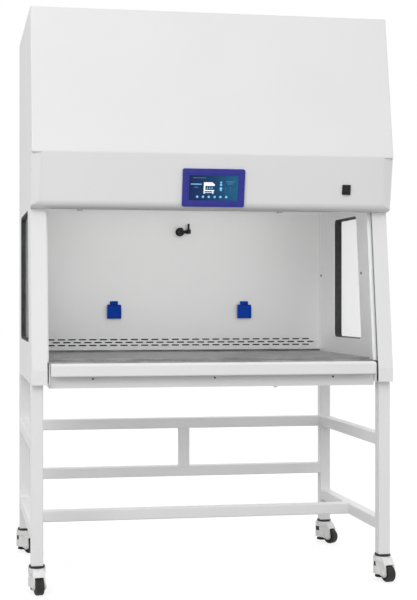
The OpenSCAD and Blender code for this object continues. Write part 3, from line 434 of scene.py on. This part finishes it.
def add_layers(mesh, layers, place, cap_first=True, cap_last=True):
    """Joins outlines of equal length, given as (points, depth), into a skin in the place's own frame."""
    rings = []
    for points, depth in layers:
        rings.append([mesh.verts.new(place @ Vector((x, y, depth))) for x, y in points])
    for lower, upper in zip(rings, rings[1:]):
        for i in range(len(lower)):
            j = (i + 1) % len(lower)
            mesh.faces.new((lower[i], lower[j], upper[j], upper[i]))
    if cap_first:
        mesh.faces.new(rings[0])
    if cap_last:
        mesh.faces.new(rings[-1])


def corners(node):
    """Lowest and highest corner of a CAD node."""
    return [Vector(c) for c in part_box(node)]


def middle(node):
    low, high = corners(node)
    return (low + high) / 2


# ---------------------------------------------------------------- display

# Thickness of the screen, and of the films that stand for its lit marks
SCREEN_T = 1.8 * MM
FILM_T = 0.25 * MM

# Size of the rim that lies on the bezel
RIM_W, RIM_H = 238, 142
BEZEL_T = 9 * MM


def band_frame(centre):
    """Frame on the control band: x across, y up the band and z out of it."""
    across = Vector((1, 0, 0))
    up = Vector((0, -math.sin(BAND_TILT), math.cos(BAND_TILT)))
    out = across.cross(up)
    frame_matrix = Matrix((across, up, out)).transposed().to_4x4()
    frame_matrix.translation = centre
    return frame_matrix


def screen_marks():
    """Generic read-outs: a cabinet symbol, bars and a row of keys, as thin raised films."""
    at = band_frame(middle("display_screen")) @ Matrix.Translation((0, 0, SCREEN_T / 2))
    white, blue, pale = bmesh.new(), bmesh.new(), bmesh.new()

    def bar(mesh, x0, x1, y0, y1):
        add_block(mesh, (x0 * MM, y0 * MM, 0), (x1 * MM, y1 * MM, FILM_T), at)

    def dot(mesh, x, y, r):
        ring = rounded_outline(2 * r * MM, 2 * r * MM, 0.8 * r * MM)
        add_layers(mesh, [(ring, 0), (ring, FILM_T)], at @ Matrix.Translation((x * MM, y * MM, 0)))

    def shape(mesh, points):
        flat = [(x * MM, y * MM) for x, y in points]
        add_layers(mesh, [(flat, 0), (flat, FILM_T)], at)

    # a small cabinet seen from its side, with the air stream inside it and its stand
    shape(white, [(-38, 8), (4, 8), (4, 13), (-5, 21), (-36, 21), (-38, 19)])
    shape(white, [(-38, -12), (-32, -12), (-32, 8), (-38, 8)])
    shape(white, [(-32, -12), (1, -12), (3, -8), (-32, -8)])
    for x in (-36, -2):
        bar(white, x - 2, x + 1.4, -22, -12)
    bar(white, -34.6, -4, -18.4, -16.4)
    for k in range(3):
        x = -24 + 9 * k
        shape(blue, [(x - 3, 0), (x, -5), (x + 3, 0), (x + 1, 0), (x + 1, 5), (x - 1, 5), (x - 1, 0)])
    # read-outs at both sides
    bar(blue, -88, -46, 12, 15.5)
    for k, (x0, x1) in enumerate(((-72, -62), (-76, -58))):
        bar(pale, x0, x1, 5 - 5 * k, 6.6 - 5 * k)
    bar(pale, -80, -30, 36.4, 38.4)
    for y, r in ((21, 3.4), (12, 4.2), (-2, 5.0), (-8, 3.4)):
        dot(blue, 28, y, r)
    for k in range(3):
        bar(pale, 46 + 3 * k, 82 - 5 * k, 24 - 5 * k, 26.2 - 5 * k)
    bar(pale, 46, 47, -16, 6)
    bar(pale, 63, 64, -16, 6)
    # the row of keys
    for k in range(6):
        dot(blue, -62 + 22.3 * k, -33.5, 4.3)
    piece("display_symbol", white, ROOT, "screen_glass", glowing("mark_white", (0.80, 0.86, 0.92), 0.55))
    piece("display_bars", blue, ROOT, "screen_glass", glowing("mark_blue", (0.16, 0.45, 0.72), 0.5))
    piece("display_lines", pale, ROOT, "screen_glass", glowing("mark_pale", (0.045, 0.16, 0.30), 0.45))


screen_marks()


def bezel_rim():
    """Soft moulded frame round the screen: rolled outside, and sloping in towards the glass."""
    at = band_frame(middle("display_bezel")) @ Matrix.Translation((0, 0, BEZEL_T / 2))
    # distance in from the rim's edge, corner radius and height, in mm
    section = [(0, 7, -1.0), (0, 7, 0.0), (0.5, 6.5, 0.7), (1.5, 6, 1.0),
               (18, 5, 1.0), (19, 4.6, 0.8), (23, 3, -0.9), (23.5, 2.6, -1.5)]
    mesh = bmesh.new()
    add_layers(mesh, [(rounded_outline((RIM_W - 2 * i) * MM, (RIM_H - 2 * i) * MM, r * MM), z * MM)
                      for i, r, z in section], at, cap_first=False, cap_last=False)
    piece("bezel_rim", mesh, ROOT, "bezel_plastic", smooth=35)


bezel_rim()


# ---------------------------------------------------------------- small fittings

def islands(node):
    """Centre and size of each loose solid of a CAD node."""
    mesh = bmesh.new()
    mesh.from_mesh(frame["nodes"][node].data)
    bmesh.ops.remove_doubles(mesh, verts=mesh.verts, dist=1e-6)
    left, found = set(mesh.verts), []
    while left:
        queue, group = [left.pop()], []
        while queue:
            vert = queue.pop()
            group.append(vert.co.copy())
            for edge in vert.link_edges:
                other = edge.other_vert(vert)
                if other in left:
                    left.discard(other)
                    queue.append(other)
        low = Vector(min(c[i] for c in group) for i in range(3))
        high = Vector(max(c[i] for c in group) for i in range(3))
        found.append(((low + high) / 2, high - low))
    mesh.free()
    return found


def facing(origin, direction):
    """Frame at a point whose z runs along a direction."""
    matrix = direction.to_track_quat("Z", "Y").to_matrix().to_4x4()
    matrix.translation = origin
    return matrix


def hexagon(radius, steps):
    """Points round a hexagon about the origin, as many as a circle of these steps has."""
    turns = [2 * math.pi * i / steps for i in range(steps)]
    flat = radius * math.cos(math.pi / 6)
    reach = [flat / math.cos(a % (math.pi / 3) - math.pi / 6) for a in turns]
    return [(r * math.cos(a), r * math.sin(a)) for r, a in zip(reach, turns)]


def screws():
    """Domed screws with a six-sided socket, in place of the plain heads: blackened except at the back."""
    bright, dark = bmesh.new(), bmesh.new()
    steps = 30
    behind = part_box("back_panel")[0][1] - 40 * MM
    for centre, size in islands("fasteners"):
        thin = min(range(3), key=lambda i: size[i])
        r, h = max(size) / 2, size[thin]
        way = Vector((0, 0, 0))
        way[thin] = (1 if centre[1] > 0 else -1) if thin == 1 else (-1 if centre[0] > 0 else 1)
        dome = [(r, 0), (r, 0.30 * h), (0.93 * r, 0.62 * h), (0.75 * r, 0.88 * h), (0.55 * r, h)]
        layers = [(circle(q, steps), z) for q, z in dome]
        layers += [(hexagon(0.42 * r, steps), z) for z in (0.99 * h, 0.35 * h)]
        add_layers(bright if centre[1] > behind else dark, layers, facing(centre - way * h / 2, way))
    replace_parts(piece("screw_heads", bright, ROOT, "screw_steel", smooth=30), "fasteners")
    blackened = bright_metal("screw_black", (0.035, 0.035, 0.038), 0.4)
    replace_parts(piece("screw_heads_dark", dark, ROOT, "screw_steel", blackened, smooth=30), "fasteners")


screws()


def weld_beads():
    """Painted fillet welds round each rail where it meets its leg or its neighbour."""
    mesh = bmesh.new()
    steps, tube_r, half_wide, proud = 8, 4 * MM, 2.4 * MM, 1.65 * MM

    def bead(centre, axis, size):
        """A bead round a square tube of this size, whose run is along axis (0, 1 or 2)."""
        u, v = [i for i in range(3) if i != axis]
        turns = rounded_outline(size * MM, size * MM, tube_r, 3)
        rings = []
        for k, (a, b) in enumerate(turns):
            before, after = turns[k - 1], turns[(k + 1) % len(turns)]
            out = Vector((after[1] - before[1], before[0] - after[0])).normalized()
            ripple = 1.0 + 0.10 * math.sin(k * 2.1)
            ring = []
            for along, outward in circle(ripple, steps):
                point = Vector(centre) * MM
                point[axis] += half_wide * along
                point[u] += a + out[0] * proud * outward
                point[v] += b + out[1] * proud * outward
                ring.append(mesh.verts.new(point))
            rings.append(ring)
        for ring, after in zip(rings, rings[1:] + rings[:1]):
            for i in range(steps):
                j = (i + 1) % steps
                mesh.faces.new((ring[i], ring[j], after[j], after[i]))

    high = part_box("stand_legs")[1]
    in_x, in_y = high[0] / MM - LEG, high[1] / MM - LEG
    mid_x, mid_y = in_x + LEG / 2, in_y + LEG / 2
    for sx in (-1, 1):
        for sy in (-1, 1):
            for z, size in ((UPPER_Z, RAIL), (LOWER_Z, LOW_RAIL)):
                bead((sx * mid_x, sy * in_y, z), 1, size)
        for z in (UPPER_Z, MIDDLE_Z):
            bead((sx * in_x, mid_y, z), 0, RAIL)
        bead((sx * (mid_x - LOW_RAIL / 2), 0, LOWER_Z), 0, LOW_RAIL)
    for z in (UPPER_Z - RAIL / 2, MIDDLE_Z + RAIL / 2):
        bead((STRUT_X, mid_y, z), 2, RAIL)
    piece("weld_beads", mesh, ROOT, "white_paint", smooth=60)


weld_beads()


def pleats():
    """Folded paper of the exhaust filter, seen through the guard."""
    low, high = corners("exhaust_filter")
    mesh = bmesh.new()
    rim, crest, valley = 20.5 * MM, 2.2 * MM, 7.6 * MM
    folds, threads, thread = 64, 5, 1.2 * MM
    x0, x1 = low.x + rim, high.x - rim
    y0, y1 = low.y + rim, high.y - rim
    rows = []
    for i in range(2 * folds + 1):
        x = x0 + (x1 - x0) * i / (2 * folds)
        z = high.z - (valley if i % 2 else crest)
        rows.append([mesh.verts.new((x, y, z)) for y in (y0, y1)])
    for a, b in zip(rows, rows[1:]):
        mesh.faces.new((a[0], b[0], b[1], a[1]))
    # glue threads that hold the folds apart
    for k in range(1, threads + 1):
        y = y0 + (y1 - y0) * k / (threads + 1)
        add_block(mesh, (x0, y - thread, high.z - crest - 1.0 * MM),
                  (x1, y + thread, high.z - crest + 0.6 * MM), edge=0.5 * MM)
    piece("exhaust_pleats", mesh, ROOT, "filter_media")


pleats()


def duct_lining():
    """Dark sheet on the rear duct's wall, behind the return slots: painted shade, standing for the dark depth
    of the duct seen through them.
    """
    low, high = corners("rear_wall")
    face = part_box("back_panel")[0][1] - 0.5 * MM
    inset, thick, below, tall = 10 * MM, 5.5 * MM, 4 * MM, 119 * MM
    mesh = bmesh.new()
    # Painted shade: a dark block where the slots would show shadow, not a real lining
    add_block(mesh, (low.x + inset, face - thick, low.z - below),
              (high.x - inset, face, low.z - below + tall), edge=1.5 * MM)
    piece("duct_lining", mesh, ROOT, "gasket_rubber")


duct_lining()


def socket_crowns():
    """Crowned moulding over each socket cover, with a rolled edge and a finger ridge."""
    hinge_h, over = 13 * MM, 0.2 * MM
    # distance in from the edge, height and corner radius, in mm
    section = [(0.0, -3.5, 3.0), (0.0, 0.0, 3.0), (0.8, 0.7, 3.0), (2.4, 1.4, 3.5), (7.0, 1.9, 4.0),
               (16.0, 2.2, 5.0)]
    for side in ("left", "right"):
        low, high = corners("socket_cover_" + side)
        high.z -= hinge_h
        wide, tall = high.x - low.x, high.z - low.z
        centre = Vector(((low.x + high.x) / 2, low.y, (low.z + high.z) / 2))
        at = Matrix.Translation(centre) @ Matrix.Rotation(math.pi / 2, 4, "X")
        mesh = bmesh.new()
        layers = []
        for inset, height, radius in section:
            grow = 2 * (over - inset * MM)
            layers.append((rounded_outline(wide + grow, tall + grow, radius * MM), height * MM))
        add_layers(mesh, layers, at, cap_first=False)
        ridge = at @ Matrix.Translation((0, -tall / 2 + 9 * MM, 1.4 * MM))
        add_block(mesh, (-11 * MM, -1.4 * MM, 0), (11 * MM, 1.4 * MM, 2.0 * MM), ridge, 0.7 * MM)
        piece("socket_crown_" + side, mesh, "socket_cover_" + side, "socket_blue", smooth=40)


socket_crowns()


def hose_barbs():
    """Barbs on the tap's upturned tip."""
    high = corners("tap_body")[1]
    tip_in, tip_out, first_down, pitch = 10 * MM, 15 * MM, 18 * MM, 6.5 * MM
    x, y = high.x - tip_in, high.y - tip_out
    mesh = bmesh.new()
    for k in range(3):
        z = high.z - first_down + pitch * k
        add_turned(mesh, [(3.6 * MM, 0), (5.0 * MM, 0.6 * MM), (5.1 * MM, 1.4 * MM), (4.05 * MM, 5.2 * MM),
                          (3.6 * MM, 5.2 * MM)], Matrix.Translation((x, y, z)))
    piece("tap_barbs", mesh, ROOT, "black_plastic", smooth=35)


hose_barbs()


def joint(name):
    """A joint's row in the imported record."""
    return next(j for j in frame["record"]["behaviour"]["joints"] if j["name"] == name)


def caster_fittings():
    """Domed axle caps on each caster's housing, and a raised ring on each side of its wheel."""
    cheek_out, wheel_out = 24.4 * MM, 12.05 * MM
    for corner in CORNERS:
        spin = joint("wheel_spin_" + corner)
        axis, at = Vector(spin["axis"]), Vector(spin["pos_m"])
        caps, hubs = bmesh.new(), bmesh.new()
        for way in (-1, 1):
            out = axis * way
            add_turned(caps, [(8.0 * MM, 0), (8.6 * MM, 0.4 * MM), (8.4 * MM, 2.0 * MM), (6.6 * MM, 3.0 * MM),
                              (3.4 * MM, 3.2 * MM), (3.0 * MM, 2.4 * MM), (0, 2.4 * MM)],
                       facing(at + out * cheek_out, out), 32)
            add_turned(hubs, [(10.5 * MM, 0), (16.0 * MM, 0.0), (17.0 * MM, 0.5 * MM), (17.4 * MM, 0.9 * MM),
                              (18.4 * MM, 0.9 * MM), (18.8 * MM, 0.4 * MM), (20.0 * MM, 0)],
                       facing(at + out * wheel_out, out), 40)
        piece("axle_caps_" + corner, caps, "caster_fork_" + corner, "caster_diecast", smooth=40)
        piece("wheel_rings_" + corner, hubs, "caster_wheel_" + corner, "caster_tread", smooth=40)


caster_fittings()


def lamp_caps():
    """End caps and sockets of the work lamp's tube."""
    low, high = corners("work_lamp")
    tube_up, end_in = 13 * MM, 15 * MM
    y, z = (low.y + high.y) / 2, low.z + tube_up
    mesh = bmesh.new()
    for way, x in ((-1, low.x + end_in), (1, high.x - end_in)):
        add_turned(mesh, [(13.2 * MM, -14 * MM), (13.6 * MM, -13.4 * MM), (13.6 * MM, 0), (12 * MM, 1.5 * MM),
                          (0, 1.5 * MM)], facing(Vector((x, y, z)), Vector((way, 0, 0))), 32)
        add_block(mesh, (x - 4 * MM, y - 9 * MM, z - 4 * MM), (x + 4 * MM, y + 9 * MM, z + 13 * MM),
                  edge=1.2 * MM)
    piece("lamp_caps", mesh, ROOT, "motor_grey", smooth=40)


lamp_caps()


# ---------------------------------------------------------------- stage, light and camera

def stage():
    """Pale floor that stays near white where it is seen, and reflects little light up at the object."""
    mesh = bmesh.new()
    bmesh.ops.create_grid(mesh, x_segments=1, y_segments=1, size=30)
    data = bpy.data.meshes.new("floor")
    mesh.to_mesh(data)
    mesh.free()
    floor = bpy.data.objects.new("floor", data)
    bpy.context.collection.objects.link(floor)
    material = bpy.data.materials.new("floor")
    material.use_nodes = True
    tree = material.node_tree
    tree.nodes.clear()
    diffuse = tree.nodes.new("ShaderNodeBsdfDiffuse")
    diffuse.inputs["Color"].default_value = (FLOOR_TONE, FLOOR_TONE, FLOOR_TONE, 1)
    lift = tree.nodes.new("ShaderNodeEmission")
    lift.inputs["Color"].default_value = (1, 1, 1, 1)
    seen = seen_rays(tree)
    scaled = tree.nodes.new("ShaderNodeMath")
    scaled.operation = "MULTIPLY"
    scaled.inputs[1].default_value = FLOOR_GLOW
    tree.links.new(seen, scaled.inputs[0])
    tree.links.new(scaled.outputs[0], lift.inputs["Strength"])
    both = tree.nodes.new("ShaderNodeAddShader")
    out = tree.nodes.new("ShaderNodeOutputMaterial")
    tree.links.new(diffuse.outputs[0], both.inputs[0])
    tree.links.new(lift.outputs[0], both.inputs[1])
    tree.links.new(both.outputs[0], out.inputs["Surface"])
    floor.data.materials.append(material)


def seen_rays(tree):
    """1 for camera, glossy and transmission rays, 0 for the rays that light the object."""
    path = tree.nodes.new("ShaderNodeLightPath")
    total = path.outputs["Is Camera Ray"]
    for name in ("Is Glossy Ray", "Is Transmission Ray"):
        add = tree.nodes.new("ShaderNodeMath")
        add.operation = "ADD"
        add.use_clamp = True
        tree.links.new(total, add.inputs[0])
        tree.links.new(path.outputs[name], add.inputs[1])
        total = add.outputs[0]
    return total


def world(above, below):
    """Soft studio: bright overhead and dim underfoot for the rays that light, and white where it is seen."""
    made = bpy.data.worlds.new("studio")
    made.use_nodes = True
    bpy.context.scene.world = made
    tree = made.node_tree
    background = tree.nodes["Background"]
    background.inputs["Color"].default_value = (1, 1, 1, 1)
    way = tree.nodes.new("ShaderNodeTexCoord")
    parts = tree.nodes.new("ShaderNodeSeparateXYZ")
    tree.links.new(way.outputs["Generated"], parts.inputs[0])
    sky = tree.nodes.new("ShaderNodeMapRange")
    sky.interpolation_type = "SMOOTHSTEP"
    for name, value in (("From Min", -0.25), ("From Max", 0.35), ("To Min", below), ("To Max", above)):
        sky.inputs[name].default_value = value
    tree.links.new(parts.outputs["Z"], sky.inputs["Value"])
    seen = seen_rays(tree)
    strength = tree.nodes.new("ShaderNodeMix")
    strength.data_type = "FLOAT"
    tree.links.new(seen, strength.inputs["Factor"])
    tree.links.new(sky.outputs["Result"], strength.inputs["A"])
    strength.inputs["B"].default_value = 1.0
    tree.links.new(strength.outputs["Result"], background.inputs["Strength"])


def softbox(name, at, aim, size, power, glossy=True):
    """A rectangular area light that looks from one point at another."""
    data = bpy.data.lights.new(name, "AREA")
    data.shape = "RECTANGLE"
    data.size, data.size_y = size
    data.energy = power
    lamp = bpy.data.objects.new(name, data)
    bpy.context.collection.objects.link(lamp)
    lamp.location = at
    lamp.visible_glossy = glossy
    lamp.rotation_mode = "QUATERNION"
    lamp.rotation_quaternion = (Vector(aim) - Vector(at)).to_track_quat("-Z", "Y")


def camera():
    """The photograph's viewpoint, level, with the shift of its cropped frame."""
    data = bpy.data.cameras.new("camera")
    data.lens = CAMERA_LENS
    data.sensor_width = 36
    data.shift_x = CAMERA_SHIFT
    data.clip_end = 100
    made = bpy.data.objects.new("camera", data)
    bpy.context.collection.objects.link(made)
    made.location = CAMERA_AT
    made.rotation_euler = (math.pi / 2, 0, -math.radians(CAMERA_YAW))
    bpy.context.scene.camera = made


stage()
world(SKY_ABOVE, SKY_BELOW)
softbox("key", (-3.2, -5.2, 4.2), (0, -0.4, 1.3), (3.0, 3.0), KEY_POWER)
softbox("low fill", (0.6, -6.2, 0.9), (0, 0, 0.6), (3.4, 1.4), LOW_FILL_POWER, glossy=False)
softbox("back fill", (1.6, 5.6, 3.2), (0, 0, 1.1), (3.2, 3.2), BACK_FILL_POWER, glossy=False)
camera()
bpy.context.scene.view_settings.view_transform = "Standard"
